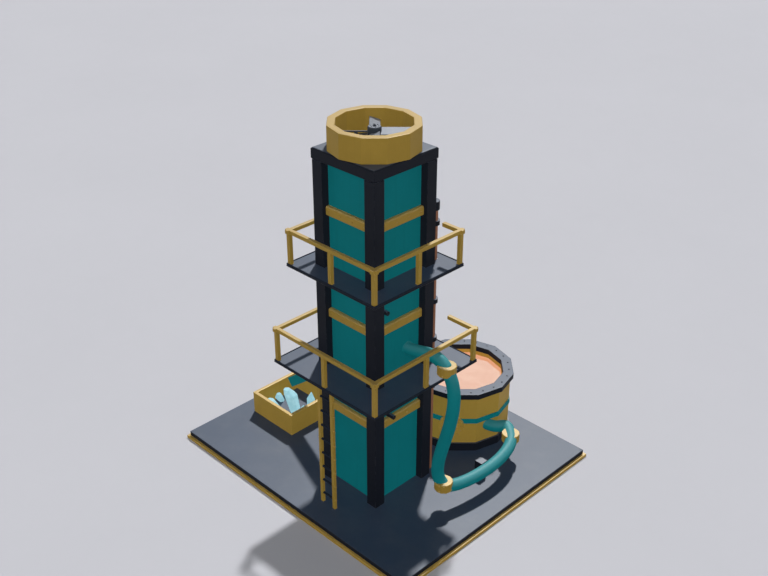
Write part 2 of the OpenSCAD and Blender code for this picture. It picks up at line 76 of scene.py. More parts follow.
# The vat, its rim, the collars and the shroud have twelve flat sides, which lie at
# this share of their corners' radius
FLATS = 12
HALF_FLAT = math.pi / FLATS
FLAT_SHARE = math.cos(HALF_FLAT)


# Small helpers for meshes

def turned(direction):
    """The rotation that turns +Z to a direction."""
    return Vector(direction).to_track_quat("Z", "Y").to_matrix().to_4x4()


def place(at, direction=up, spin=0.0):
    """A matrix that stands a shape, made on +Z, at a point and along a direction."""
    return Matrix.Translation(at) @ turned(direction) @ Matrix.Rotation(spin, 4, "Z")


def add_prism(bm, where, radius, height, sides, top_share=1.0):
    """A closed prism from its foot upward, with its top a share of its radius."""
    made = bmesh.ops.create_cone(bm, cap_ends=True, segments=sides, radius1=radius,
                                 radius2=radius * top_share, depth=height)
    bmesh.ops.transform(bm, verts=made["verts"],
                        matrix=where @ Matrix.Translation((0, 0, height / 2)))


def add_box(bm, where, size):
    """A closed box that stands on its place."""
    made = bmesh.ops.create_cube(bm, size=1.0)
    shape = Matrix.Translation((0, 0, size[2] / 2)) @ Matrix.Diagonal((*size, 1.0))
    bmesh.ops.transform(bm, verts=made["verts"], matrix=where @ shape)


def add_stack(bm, where, steps):
    """Prisms that stand one on another, each with its radius, height, sides and top share."""
    foot = 0.0
    for radius, height, sides, top_share in steps:
        add_prism(bm, where @ Matrix.Translation((0, 0, foot)), radius, height, sides, top_share)
        foot += height


# A bolt's washer, head and crown; radius and height are shares of the head's radius
BOLT_STEPS = ((1.25, 0.22, 16, 1.0), (1.0, 0.62, 6, 1.0), (0.9, 0.16, 6, 0.8))


def add_bolt(bm, at, direction, radius, spin=0.0):
    """A washer and a hexagon head with a chamfered crown."""
    add_stack(bm, place(at, direction, spin),
              [(wide * radius, high * radius, sides, top) for wide, high, sides, top in BOLT_STEPS])


def add_tube(bm, centres, radius, sides, closed=False):
    """A tube along a line of points, capped at both ends unless its line is closed."""
    count = len(centres)
    side = None
    rings = []
    for i, centre in enumerate(centres):
        before = centres[i - 1] if i > 0 or closed else centre
        after = centres[(i + 1) % count] if i < count - 1 or closed else centre
        way = (after - before).normalized()
        if side is None:
            side = way.orthogonal().normalized()
        side = (side - way * side.dot(way)).normalized()
        other = way.cross(side)
        rings.append([bm.verts.new(centre + radius * (math.cos(a) * side + math.sin(a) * other))
                      for a in (2 * math.pi * j / sides for j in range(sides))])
    for i in range(count if closed else count - 1):
        ring, after = rings[i], rings[(i + 1) % count]
        for j in range(sides):
            k = (j + 1) % sides
            bm.faces.new((ring[j], ring[k], after[k], after[j]))
    if not closed:
        bm.faces.new(list(reversed(rings[0])))
        bm.faces.new(rings[-1])


def finish_piece(name, bm, material, body="root", smooth=False, bevel=0.0):
    """Turns a bmesh into a named piece that rides on a body."""
    bmesh.ops.recalc_face_normals(bm, faces=bm.faces)
    mesh = bpy.data.meshes.new(name)
    bm.to_mesh(mesh)
    bm.free()
    piece = bpy.data.objects.new(name, mesh)
    scene.collection.objects.link(piece)
    mesh.materials.append(material)
    if smooth:
        mesh.polygons.foreach_set("use_smooth", [True] * len(mesh.polygons))
    if bevel:
        edges = piece.modifiers.new("soft_edges", "BEVEL")
        edges.width = bevel
        edges.segments = 2
        edges.limit_method = "ANGLE"
    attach(piece, body)
    return piece


# Shader node groups

class Group:
    """A shader node group with named sockets."""

    def __init__(self, name, inputs, outputs):
        self.tree = bpy.data.node_groups.new(name, "ShaderNodeTree")
        for socket, kind, value in inputs:
            made = self.tree.interface.new_socket(socket, in_out="INPUT", socket_type=kind)
            made.default_value = value
        for socket, kind in outputs:
            self.tree.interface.new_socket(socket, in_out="OUTPUT", socket_type=kind)
        self.given = self.tree.nodes.new("NodeGroupInput").outputs
        self.result = self.tree.nodes.new("NodeGroupOutput").inputs

    def add(self, kind, **settings):
        return add_node(self.tree, kind, **settings)

    def join(self, a, b):
        self.tree.links.new(a, b)


def add_node(tree, kind, **settings):
    """A node with its properties and, by name, its input values."""
    node = tree.nodes.new(kind)
    values = settings.pop("values", {})
    for key, value in settings.items():
        setattr(node, key, value)
    for key, value in values.items():
        node.inputs[key].default_value = value
    return node


def noise(owner, coordinates, scale, detail=3.0, roughness=0.55):
    """A noise texture on given coordinates; the scale may be a number or a socket."""
    node = owner.add("ShaderNodeTexNoise",
                     values={"Detail": detail, "Roughness": roughness})
    owner.join(coordinates, node.inputs["Vector"])
    if isinstance(scale, (int, float)):
        node.inputs["Scale"].default_value = scale
    else:
        owner.join(scale, node.inputs["Scale"])
    return node.outputs["Fac"]


def ramp(owner, value, low, high):
    """A smooth step of a value from low to high."""
    node = owner.add("ShaderNodeMapRange", interpolation_type="SMOOTHSTEP",
                     values={"From Min": low, "From Max": high})
    owner.join(value, node.inputs["Value"])
    return node.outputs["Result"]


def maths(owner, operation, a, b):
    """One Math node; a and b are numbers or sockets."""
    node = owner.add("ShaderNodeMath", operation=operation)
    for i, given in enumerate((a, b)):
        if isinstance(given, (int, float)):
            node.inputs[i].default_value = given
        else:
            owner.join(given, node.inputs[i])
    return node.outputs[0]


def build_edge_wear():
    """Where paint is rubbed off along edges, from a rounded normal and a noise."""
    g = Group("edge_wear", [("Width", "NodeSocketFloat", 0.01),
                            ("Breakup", "NodeSocketFloat", 6.0)],
              [("Mask", "NodeSocketFloat")])
    place_of = g.add("ShaderNodeTexCoord").outputs["Object"]
    rounded = g.add("ShaderNodeBevel", samples=4)
    g.join(g.given["Width"], rounded.inputs["Radius"])
    face = g.add("ShaderNodeNewGeometry")
    meet = g.add("ShaderNodeVectorMath", operation="DOT_PRODUCT")
    g.join(rounded.outputs["Normal"], meet.inputs[0])
    g.join(face.outputs["Normal"], meet.inputs[1])
    edge = ramp(g, meet.outputs["Value"], 0.995, 0.90)
    broken = ramp(g, noise(g, place_of, g.given["Breakup"], 4.0, 0.65), 0.45, 0.62)
    g.join(maths(g, "MULTIPLY", edge, broken), g.result["Mask"])
    return g.tree


def build_tone_drift():
    """A colour that drifts a little lighter and darker over the surface."""
    fine_per_broad = 9.0
    broad_share = 0.7
    fine_share = 0.3
    noise_to_spread = 4.0
    g = Group("tone_drift", [("Color", "NodeSocketColor", (0.5, 0.5, 0.5, 1.0)),
                             ("Scale", "NodeSocketFloat", 1.2),
                             ("Spread", "NodeSocketFloat", 0.10)],
              [("Color", "NodeSocketColor")])
    place_of = g.add("ShaderNodeTexCoord").outputs["Object"]
    broad = noise(g, place_of, g.given["Scale"], 3.0, 0.5)
    fine_scale = maths(g, "MULTIPLY", g.given["Scale"], fine_per_broad)
    fine = noise(g, place_of, fine_scale, 4.0, 0.6)
    mixed = maths(g, "ADD", maths(g, "MULTIPLY", broad, broad_share),
                  maths(g, "MULTIPLY", fine, fine_share))
    centred = maths(g, "SUBTRACT", mixed, 0.5)
    swing = maths(g, "MULTIPLY", g.given["Spread"], noise_to_spread)
    gain = maths(g, "ADD", maths(g, "MULTIPLY", centred, swing), 1.0)
    scaled = g.add("ShaderNodeVectorMath", operation="SCALE")
    g.join(g.given["Color"], scaled.inputs[0])
    g.join(gain, scaled.inputs["Scale"])
    g.join(scaled.outputs["Vector"], g.result["Color"])
    return g.tree


def build_settled_dust():
    """Dust that settles on faces that look up, in soft patches."""
    g = Group("settled_dust", [("Amount", "NodeSocketFloat", 0.3),
                               ("Scale", "NodeSocketFloat", 1.5)],
              [("Mask", "NodeSocketFloat")])
    place_of = g.add("ShaderNodeTexCoord").outputs["Object"]
    face = g.add("ShaderNodeNewGeometry")
    split = g.add("ShaderNodeSeparateXYZ")
    g.join(face.outputs["Normal"], split.inputs[0])
    level = ramp(g, split.outputs["Z"], 0.4, 0.95)
    patches = ramp(g, noise(g, place_of, g.given["Scale"], 6.0, 0.6), 0.35, 0.75)
    mask = maths(g, "MULTIPLY", maths(g, "MULTIPLY", level, patches), g.given["Amount"])
    g.join(mask, g.result["Mask"])
    return g.tree


def build_run_marks():
    """Faint upright streaks where rain has run down a wall."""
    streak_squeeze = 0.05
    g = Group("run_marks", [("Amount", "NodeSocketFloat", 0.2),
                            ("Spacing", "NodeSocketFloat", 7.0)],
              [("Mask", "NodeSocketFloat")])
    place_of = g.add("ShaderNodeTexCoord").outputs["Object"]
    squeezed = g.add("ShaderNodeMapping", values={"Scale": (1.0, 1.0, streak_squeeze)})
    g.join(place_of, squeezed.inputs["Vector"])
    streaks = noise(g, squeezed.outputs["Vector"], g.given["Spacing"], 3.0, 0.6)
    face = g.add("ShaderNodeNewGeometry")
    split = g.add("ShaderNodeSeparateXYZ")
    g.join(face.outputs["Normal"], split.inputs[0])
    upright = ramp(g, maths(g, "ABSOLUTE", split.outputs["Z"], 0.0), 0.5, 0.1)
    mask = maths(g, "MULTIPLY", ramp(g, streaks, 0.5, 0.72), upright)
    g.join(maths(g, "MULTIPLY", mask, g.given["Amount"]), g.result["Mask"])
    return g.tree


def build_fine_grain():
    """The height of a sprayed or cast surface: a fine grain on a slow swell."""
    grain_depth = 0.06
    g = Group("fine_grain", [("Grain", "NodeSocketFloat", 90.0),
                             ("Swell", "NodeSocketFloat", 2.0),
                             ("Swell Depth", "NodeSocketFloat", 0.5)],
              [("Height", "NodeSocketFloat")])
    place_of = g.add("ShaderNodeTexCoord").outputs["Object"]
    grain = noise(g, place_of, g.given["Grain"], 2.0, 0.6)
    swell = noise(g, place_of, g.given["Swell"], 1.0, 0.4)
    g.join(maths(g, "ADD", maths(g, "MULTIPLY", grain, grain_depth),
                 maths(g, "MULTIPLY", swell, g.given["Swell Depth"])), g.result["Height"])
    return g.tree


def build_tread_plate():
    """The raised lozenges of a tread plate, in two directions."""
    lozenge_slimness = 0.42
    g = Group("tread_plate", [("Pitch", "NodeSocketFloat", 22.0)],
              [("Height", "NodeSocketFloat")])
    place_of = g.add("ShaderNodeTexCoord").outputs["Object"]
    heights = []
    for turn, shift in ((45.0, 0.0), (-45.0, 0.5)):
        lay = g.add("ShaderNodeMapping", values={
            "Rotation": (0.0, 0.0, math.radians(turn)), "Location": (shift, shift, 0.0),
            "Scale": (1.0, lozenge_slimness, 1.0)})
        scaled = g.add("ShaderNodeVectorMath", operation="SCALE")
        g.join(place_of, scaled.inputs[0])
        g.join(g.given["Pitch"], scaled.inputs["Scale"])
        g.join(scaled.outputs["Vector"], lay.inputs["Vector"])
        cell = g.add("ShaderNodeTexVoronoi", feature="F1",
                     values={"Scale": 1.0, "Randomness": 0.0})
        g.join(lay.outputs["Vector"], cell.inputs["Vector"])
        heights.append(ramp(g, cell.outputs["Distance"], 0.30, 0.18))
    g.join(maths(g, "MAXIMUM", heights[0], heights[1]), g.result["Height"])
    return g.tree


def build_level_polish_and_painted_top():
    """Where a face lies level enough for rain and feet to keep it polished; some finishes also use
    this mask to paint a lighter top colour on level faces, which is painted light.
    """
    g = Group("level_polish_and_painted_top", [("Amount", "NodeSocketFloat", 1.0),
                               ("Start", "NodeSocketFloat", 0.35),
                               ("Full", "NodeSocketFloat", 0.9)],
              [("Mask", "NodeSocketFloat")])
    face = g.add("ShaderNodeNewGeometry")
    split = g.add("ShaderNodeSeparateXYZ")
    g.join(face.outputs["Normal"], split.inputs[0])
    level = g.add("ShaderNodeMapRange", interpolation_type="SMOOTHSTEP")
    g.join(split.outputs["Z"], level.inputs["Value"])
    g.join(g.given["Start"], level.inputs["From Min"])
    g.join(g.given["Full"], level.inputs["From Max"])
    mask = maths(g, "MULTIPLY", level.outputs["Result"], g.given["Amount"])
    g.join(mask, g.result["Mask"])
    return g.tree


GROUPS = {}
for group_name, builder in (("edge_wear", build_edge_wear), ("tone_drift", build_tone_drift),
                            ("settled_dust", build_settled_dust), ("run_marks", build_run_marks),
                            ("fine_grain", build_fine_grain), ("tread_plate", build_tread_plate),
                            ("level_polish_and_painted_top", build_level_polish_and_painted_top)):
    GROUPS[group_name] = builder()


# Materials

class Finish:
    """A material being put together round its Principled shader."""

    def __init__(self, name, **sockets):
        self.material = bpy.data.materials.new(name)
        self.material.use_nodes = True
        self.tree = self.material.node_tree
        self.shader = self.tree.nodes["Principled BSDF"]
        for key, value in sockets.items():
            self.shader.inputs[key.replace("_", " ")].default_value = value

    def add(self, kind, **settings):
        return add_node(self.tree, kind, **settings)

    def join(self, a, b):
        self.tree.links.new(a, b)

    def group(self, name, **values):
        node = self.tree.nodes.new("ShaderNodeGroup")
        node.node_tree = GROUPS[name]
        for key, value in values.items():
            node.inputs[key.replace("_", " ")].default_value = value
        return node

    def mix(self, mask, a, b):
        """A colour mixed from a to b by a mask; a and b are sockets or colours."""
        node = self.add("ShaderNodeMix", data_type="RGBA")
        self.join(mask, node.inputs["Factor"])
        for socket, given in ((node.inputs[6], a), (node.inputs[7], b)):
            if isinstance(given, tuple):
                socket.default_value = given
            else:
                self.join(given, socket)
        return node.outputs[2]

    def roughness(self, mask, plain, other):
        node = self.add("ShaderNodeMapRange", values={"To Min": plain, "To Max": other})
        self.join(mask, node.inputs["Value"])
        self.join(node.outputs["Result"], self.shader.inputs["Roughness"])

    def bump(self, height, depth):
        node = self.add("ShaderNodeBump", values={"Strength": 1.0, "Distance": depth})
        self.join(height, node.inputs["Height"])
        self.join(node.outputs["Normal"], self.shader.inputs["Normal"])


def rgb(r, g, b):
    return (r, g, b, 1.0)


def darkened(colour, share):
    """A share of a colour's own lightness."""
    return rgb(*(share * part for part in colour[:3]))


DUST = rgb(0.30, 0.30, 0.29)
TONE_SPREAD = 0.08
WET_PAINT = 0.62
WET_METAL = 0.6
WORN_ROUGHER = 0.18
TREAD_DEPTH = 0.35
PATCH_ROUGHNESS = 0.12


def painted(name, colour, worn, roughness, dust, polish, polish_from=0.35, runs=0.15,
            tread=0.0, top=None, **sockets):
    """Enamel or paint on sheet metal, worn at its edges, with dust and run marks.

    Where top is given, faces that lie level are painted in that colour instead, a painted top that
    stands in for the light falling on them."""
    f = Finish(name, **sockets)
    level = f.group("level_polish_and_painted_top", Amount=polish, Start=polish_from).outputs["Mask"]
    f.join(level, f.shader.inputs["Coat Weight"])
    drift = f.group("tone_drift", Scale=0.9, Spread=TONE_SPREAD)
    drift.inputs["Color"].default_value = colour
    # Painted light: with a top colour, level faces are painted as if lit from above.
    if top:
        painted_top_mask = f.group("level_polish_and_painted_top", Amount=1.0, Start=0.75, Full=0.93).outputs["Mask"]
        f.join(f.mix(painted_top_mask, colour, top), drift.inputs["Color"])
    runs_mask = f.group("run_marks", Amount=runs).outputs["Mask"]
    base = f.mix(runs_mask, drift.outputs["Color"], darkened(colour, WET_PAINT))
    worn_mask = f.group("edge_wear", Width=0.012, Breakup=7.0).outputs["Mask"]
    base = f.mix(worn_mask, base, worn)
    dust_mask = f.group("settled_dust", Amount=dust, Scale=1.3).outputs["Mask"]
    f.join(f.mix(dust_mask, base, DUST), f.shader.inputs["Base Color"])
    f.roughness(maths(f, "ADD", worn_mask, dust_mask), roughness, roughness + WORN_ROUGHER)
    height = f.group("fine_grain", Grain=80.0, Swell=1.6, Swell_Depth=0.5).outputs["Height"]
    if tread:
        lozenge = f.group("tread_plate", Pitch=tread).outputs["Height"]
        height = maths(f, "ADD", height, maths(f, "MULTIPLY", lozenge, TREAD_DEPTH))
    f.bump(height, 0.004)
    return f.material


def bare_metal(name, colour, worn, roughness, metallic, polish, top=None, **sockets):
    """Bare or lacquered metal, rubbed bright along its edges, with any given top as painted light
    on level faces.
    """
    f = Finish(name, Metallic=metallic, **sockets)
    level = f.group("level_polish_and_painted_top", Amount=polish).outputs["Mask"]
    f.join(level, f.shader.inputs["Coat Weight"])
    drift = f.group("tone_drift", Scale=1.4, Spread=TONE_SPREAD)
    drift.inputs["Color"].default_value = colour
    # Painted light: with a top colour, level faces are painted as if lit from above.
    if top:
        painted_top_mask = f.group("level_polish_and_painted_top", Amount=1.0, Start=0.70, Full=0.95).outputs["Mask"]
        f.join(f.mix(painted_top_mask, colour, top), drift.inputs["Color"])
    runs_mask = f.group("run_marks", Amount=0.10, Spacing=9.0).outputs["Mask"]
    base = f.mix(runs_mask, drift.outputs["Color"], darkened(colour, WET_METAL))
    worn_mask = f.group("edge_wear", Width=0.010, Breakup=9.0).outputs["Mask"]
    base = f.mix(worn_mask, base, worn)
    dust_mask = f.group("settled_dust", Amount=0.05, Scale=1.7).outputs["Mask"]
    f.join(f.mix(dust_mask, base, DUST), f.shader.inputs["Base Color"])
    patches = f.group("tone_drift", Scale=2.3, Spread=0.25)
    patches.inputs["Color"].default_value = rgb(0.5, 0.5, 0.5)
    f.roughness(patches.outputs["Color"], roughness - PATCH_ROUGHNESS,
                roughness + PATCH_ROUGHNESS)
    f.bump(f.group("fine_grain", Grain=60.0, Swell=1.2, Swell_Depth=0.4).outputs["Height"], 0.003)
    return f.material


NAVY = rgb(0.020, 0.038, 0.074)
BLACK = rgb(0.006, 0.008, 0.014)
WORN_BLACK = rgb(0.05, 0.05, 0.06)
WORN_NAVY = rgb(0.07, 0.08, 0.10)
WORN_TEAL = rgb(0.02, 0.29, 0.31)
WORN_BRASS = rgb(0.56, 0.40, 0.13)
STEEL_GLOSS = {"Specular_IOR_Level": 0.08, "Coat_Roughness": 0.48, "Coat_IOR": 1.8}
BRASS_GLOSS = {"Specular_IOR_Level": 0.10, "Coat_Roughness": 0.46, "Coat_IOR": 1.7}

# The dark steel and rim paint take navy on level faces, a painted bluer top that stands in for sky
# light falling on them.
dark_steel = painted("dark_steel_paint", BLACK, WORN_BLACK, 0.52, dust=0.03, polish=0.72,
                     polish_from=0.75, top=NAVY, **STEEL_GLOSS)
rim_steel = painted("rim_paint", BLACK, WORN_BLACK, 0.52, dust=0.03, polish=0.52,
                    polish_from=0.75, top=NAVY, **STEEL_GLOSS)
deck_steel = painted("deck_paint", NAVY, WORN_NAVY, 0.52, dust=0.05, polish=0.45,
                     **STEEL_GLOSS)
platform_steel = painted("platform_paint", rgb(0.024, 0.042, 0.078), WORN_NAVY, 0.52,
                         dust=0.04, polish=0.46, tread=18.0, **STEEL_GLOSS)
teal = painted("teal_enamel", rgb(0.004, 0.185, 0.205), WORN_TEAL, 0.52,
               dust=0.03, runs=0.14, Specular_IOR_Level=0.03, polish=0.45,
               Coat_Roughness=0.45, Coat_IOR=1.7)
pipe_teal = painted("pipe_enamel", rgb(0.006, 0.20, 0.22), WORN_TEAL, 0.52,
                    dust=0.03, runs=0.06, Specular_IOR_Level=0.03, polish=0.60,
                    polish_from=0.10, Coat_Roughness=0.62, Coat_IOR=1.8)
brass = bare_metal("satin_brass", rgb(0.350, 0.225, 0.038), WORN_BRASS, 0.48, 0.12,
                   polish=0.78, **BRASS_GLOSS)
# Brass with a lighter base than the rest, painted light that offsets the shade falling on low
# pieces.
brass_lightened_for_shade = bare_metal("brass_lightened_for_shade", rgb(0.405, 0.260, 0.045), WORN_BRASS, 0.48, 0.12,
                       polish=0.78, **BRASS_GLOSS)
copper = bare_metal("satin_copper", rgb(0.27, 0.115, 0.062), rgb(0.46, 0.25, 0.15), 0.45, 0.2,
                    Specular_IOR_Level=0.15, polish=0.4, Coat_Roughness=0.42)
# The fan steel's level faces take a pale top colour, painted light for the sun on them.
fan_metal = bare_metal("fan_steel", rgb(0.030, 0.038, 0.052), rgb(0.15, 0.16, 0.18), 0.50, 0.1,
                       Specular_IOR_Level=0.12, polish=0.12, Coat_Roughness=0.50,
                       top=rgb(0.19, 0.205, 0.235))
edge_paint = painted("edge_paint", rgb(0.010, 0.015, 0.027), WORN_BLACK, 0.55,
                     dust=0.02, Specular_IOR_Level=0.05, polish=0.0)
fastener = bare_metal("fastener_steel", rgb(0.035, 0.042, 0.058), rgb(0.16, 0.17, 0.19), 0.45,
                      0.2, Specular_IOR_Level=0.15, polish=0.3, Coat_Roughness=0.45)
brass_fastener = bare_metal("brass_fastener", rgb(0.32, 0.20, 0.04), rgb(0.52, 0.38, 0.14),
                            0.45, 0.15, Specular_IOR_Level=0.12, polish=0.4,
                            Coat_Roughness=0.45)


def build_crystal():
    """Frosted pale crystal with a painted glow, a milky heart and cloudy bands."""
    f = Finish("frosted_crystal", Roughness=0.35, IOR=1.45, Specular_IOR_Level=0.2,
               Emission_Strength=1.0)
    place_of = f.add("ShaderNodeTexCoord").outputs["Object"]
    cloud = ramp(f, noise(f, place_of, 5.0, 5.0, 0.6), 0.35, 0.72)
    f.join(f.mix(cloud, rgb(0.10, 0.20, 0.23), rgb(0.16, 0.26, 0.28)),
           f.shader.inputs["Base Color"])
    # Painted glow: the crystal's emission stands in for even light on it, though it is no lamp.
    f.join(f.mix(cloud, rgb(0.20, 0.385, 0.445), rgb(0.25, 0.44, 0.50)),
           f.shader.inputs["Emission Color"])
    f.bump(noise(f, place_of, 22.0, 3.0, 0.5), 0.003)
    return f.material


def build_liquid():
    """The still, warm pink liquid in the vat, with slow swirls and a painted glow."""
    f = Finish("vat_liquid", Roughness=0.30, IOR=1.34, Specular_IOR_Level=0.2,
               Emission_Strength=1.0)
    place_of = f.add("ShaderNodeTexCoord").outputs["Object"]
    swirl = f.add("ShaderNodeTexNoise", values={"Scale": 1.1, "Detail": 4.0, "Distortion": 1.4})
    f.join(place_of, swirl.inputs["Vector"])
    mask = ramp(f, swirl.outputs["Fac"], 0.35, 0.7)
    f.join(f.mix(mask, rgb(0.05, 0.18, 0.21), rgb(0.06, 0.20, 0.23)),
           f.shader.inputs["Base Color"])
    # Painted glow: the liquid's emission stands in for light on it, though it is no lamp.
    f.join(f.mix(mask, rgb(0.75, 0.26, 0.10), rgb(0.79, 0.30, 0.13)),
           f.shader.inputs["Emission Color"])
    f.bump(noise(f, place_of, 3.0, 2.0, 0.4), 0.004)
    return f.material


crystal = build_crystal()
liquid = build_liquid()

# Finishes of the CAD nodes

BRASS_NODES = ("band_lower", "band_middle", "band_upper",
               "fan_shroud", "lower_rail_posts", "lower_rail_bars", "upper_rail_posts",
               "upper_rail_bars", "ladder_stringers", "pipe_collars")
# Brass that stands low, on the deck and at its edge, with a lighter base colour that is painted
# light, offsetting the shade on low pieces
SHADE_LIGHTENED_BRASS_NODES = ("vat_wall", "vat_port", "tray_walls", "base_sill_sides",
                   "base_sill_ends")
TEAL_NODES = ("wall_front", "wall_back", "wall_left", "wall_right", "vat_hoop", "pipe_outlet",
              "pipe_drop", "pipe_run", "chute")
DECK_NODES = ("deck_plate", "tray_floor")
PLATFORM_NODES = ("lower_platform_plate", "upper_platform_plate")
FAN_NODES = ("fan_hub", "fan_blades", "fan_motor")

for node_name, node in nodes.items():
    finish = dark_steel
    if node_name in BRASS_NODES:
        finish = brass
    elif node_name in SHADE_LIGHTENED_BRASS_NODES:
        finish = brass_lightened_for_shade
    elif node_name in TEAL_NODES:
        finish = teal
    elif node_name in DECK_NODES:
        finish = deck_steel
    elif node_name in PLATFORM_NODES:
        finish = platform_steel
    elif node_name in FAN_NODES:
        finish = fan_metal
    elif node_name == "riser_pipe":
        finish = copper
    elif node_name == "vat_rim":
        finish = rim_steel
    elif node_name == "crystals":
        finish = crystal
    node.data.materials.clear()
    node.data.materials.append(finish)

SAME_POINT = 0.0002

# Edges that the maker has rounded, with the radius of each
SOFT_EDGES = {
    "roof_cap": 0.014, "corner_posts": 0.010, "band_lower": 0.010, "band_middle": 0.010,
    "band_upper": 0.010, "fan_shroud": 0.014, "deck_plate": 0.004, "base_sill_sides": 0.010,
    "base_sill_ends": 0.010, "lower_rail_posts": 0.010, "lower_rail_bars": 0.010,
    "upper_rail_posts": 0.010, "upper_rail_bars": 0.010, "vat_rim": 0.014, "vat_hoop": 0.006,
    "pipe_collars": 0.012, "pipe_block": 0.010, "tray_walls": 0.012,
}
for node_name, radius in SOFT_EDGES.items():
    node = nodes[node_name]
    node.data.shade_flat()
    joined = node.modifiers.new("joined_faces", "WELD")
    joined.merge_threshold = SAME_POINT
    edges = node.modifiers.new("soft_edges", "BEVEL")
    edges.width = radius
    edges.segments = 2
    edges.limit_method = "ANGLE"
    edges.angle_limit = math.radians(25)


# The transfer pipe as smooth tubes

# The pull behind the second bend and the third, as shares of the pull before them
AFTER_DROP = 0.42
AFTER_TURN = 0.91
PIPE_REACH = 1.255
PIPE_Y = 0.300
PIPE_IN_Y = 0.325
PIPE_R = 0.165
PIPE_STEPS = 40
PIPE_SIDES = 40
drop_x = column.x + wall_face + PIPE_REACH
pipe_y = column.y + PIPE_Y
inlet_y = vat.y - PIPE_IN_Y
# The pipe's two ends and its three bends, and its pull into and out of each
route = [
    Vector((column.x + wall_face - 0.01, pipe_y, deck_z + 4.280)),
    Vector((drop_x, pipe_y + 0.100, deck_z + 4.170)),
    Vector((drop_x + 0.105, pipe_y, deck_z + 0.715)),
    Vector((drop_x + 0.020, inlet_y + 0.055, deck_z + 0.695)),
    Vector((vat.x + vat_r - 0.180, inlet_y, deck_z + 0.735)),
]
pull_in = [Vector((0, 0, 0)), Vector((1.300, -0.040, -1.190)), Vector((1.615, 0.825, -1.620)),
           Vector((-2.090, 1.920, 0.125)), Vector((-1.930, 0, 0))]
pull_out = [Vector((1.400, 0, 0)), Vector((2.720, -0.085, -2.740)), AFTER_DROP * pull_in[2],
            AFTER_TURN * pull_in[3]]


def curve_point(k, t):
    """A point on the pipe's line between corner k and the next."""
    return ((2 * t ** 3 - 3 * t ** 2 + 1) * route[k] + (t ** 3 - 2 * t ** 2 + t) * pull_out[k]
            + (-2 * t ** 3 + 3 * t ** 2) * route[k + 1] + (t ** 3 - t ** 2) * pull_in[k + 1])


def pipe_stretch(name, first, last, node):
    line = [curve_point(k, i / PIPE_STEPS) for k in range(first, last + 1)
            for i in range(PIPE_STEPS)] + [curve_point(last, 1.0)]
    bm = bmesh.new()
    add_tube(bm, line, PIPE_R, PIPE_SIDES)
    piece = finish_piece(name, bm, pipe_teal, smooth=True)
    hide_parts(node)


pipe_stretch("outlet_tube", 0, 0, "pipe_outlet")
pipe_stretch("drop_tube", 1, 1, "pipe_drop")
pipe_stretch("run_tube", 2, 3, "pipe_run")


# The liquid in the vat

LIQUID_BELOW_RIM = 0.28
RIM_W = 0.300
LIQUID_GAP = 0.002
LIQUID_WAVE = 0.0025
LIQUID_R = rim_r - RIM_W - LIQUID_GAP


def make_liquid():
    bm = bmesh.new()
    rings = 24
    level = rim_high.z - LIQUID_BELOW_RIM
    around = 72
    rows = []
    for i in range(1, rings + 1):
        share = i / rings
        row = []
        for j in range(around):
            angle = 2 * math.pi * j / around
            off_flat = (angle % (2 * HALF_FLAT)) - HALF_FLAT
            reach = LIQUID_R * FLAT_SHARE / math.cos(off_flat)
            radius = share * reach
            wave = LIQUID_WAVE * math.sin(9 * radius + 2 * angle) * (1 - share)
            row.append(bm.verts.new((vat.x + radius * math.cos(angle),
                                     vat.y + radius * math.sin(angle), level + wave)))
        rows.append(row)
    middle = bm.verts.new((vat.x, vat.y, level))
    for j in range(around):
        k = (j + 1) % around
        bm.faces.new((middle, rows[0][j], rows[0][k]))
        for inside, outside in zip(rows, rows[1:]):
            bm.faces.new((inside[j], outside[j], outside[k], inside[k]))
    finish_piece("vat_liquid_surface", bm, liquid, smooth=True)


make_liquid()


# The crystals, each from its root over its shoulder to its blunt tip, with its
# reach at the shoulder and at the tip and its turn; places are from the middle
# of the tray's floor, and each is cut level
CRYSTALS = (
    ((0.218, -0.131, 0), (-0.023, -0.113, 0.542), (-0.160, -0.136, 0.674), 0.196, 0.097, 46),
    ((-0.588, -0.016, 0), (-0.582, -0.108, 0.171), (-0.595, -0.102, 0.284), 0.121, 0.068, 0),
    ((0.163, -0.471, 0), (-0.439, -0.548, 0.362), (-0.572, -0.685, 0.322), 0.108, 0.010, 29),
    ((0.491, 0.204, 0), (0.518, 0.201, 0.495), (0.481, 0.258, 0.689), 0.125, 0.009, 36),
    ((0.600, -0.190, 0), (0.645, -0.205, 0.430), (0.668, -0.215, 0.550), 0.080, 0.010, 10),
)
TRAY_WALL = 0.100
CRYSTAL_GAP = 0.004
CRYSTAL_LIFT = 0.001
CRYSTAL_ROOT = 0.8
CRYSTAL_ROOM = (tray_high.x - tray_low.x) / 2 - TRAY_WALL - CRYSTAL_GAP


def make_crystals():
    """Six-sided shards with crisp, slightly rounded edges."""
    middle = Vector(((tray_low.x + tray_high.x) / 2, (tray_low.y + tray_high.y) / 2,
                     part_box("tray_floor")[1].z))
    bm = bmesh.new()
    for root, shoulder, tip, reach, tip_reach, turn in CRYSTALS:
        corners = []
        for at, r in ((root, CRYSTAL_ROOT * reach), (shoulder, reach), (tip, tip_reach)):
            for k in range(6):
                angle = math.radians(60 * k + turn)
                p = Vector(at) + Vector((r * math.cos(angle), r * math.sin(angle), 0))
                p.x = max(-CRYSTAL_ROOM, min(CRYSTAL_ROOM, p.x))
                p.y = max(-CRYSTAL_ROOM, min(CRYSTAL_ROOM, p.y))
                p.z = max(CRYSTAL_LIFT, p.z)
                corners.append(bm.verts.new(middle + p))
        made = bmesh.ops.convex_hull(bm, input=corners)
        inside = {v for v in made["geom_interior"] if isinstance(v, bmesh.types.BMVert)}
        unused = {v for v in made["geom_unused"] if isinstance(v, bmesh.types.BMVert)}
        bmesh.ops.delete(bm, geom=list(inside | unused), context="VERTS")
    bmesh.ops.dissolve_limit(bm, angle_limit=math.radians(4), verts=bm.verts, edges=bm.edges)
    piece = finish_piece("crystal_shards", bm, crystal, bevel=0.003)
    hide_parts("crystals")


make_crystals()


# Fasteners and welds

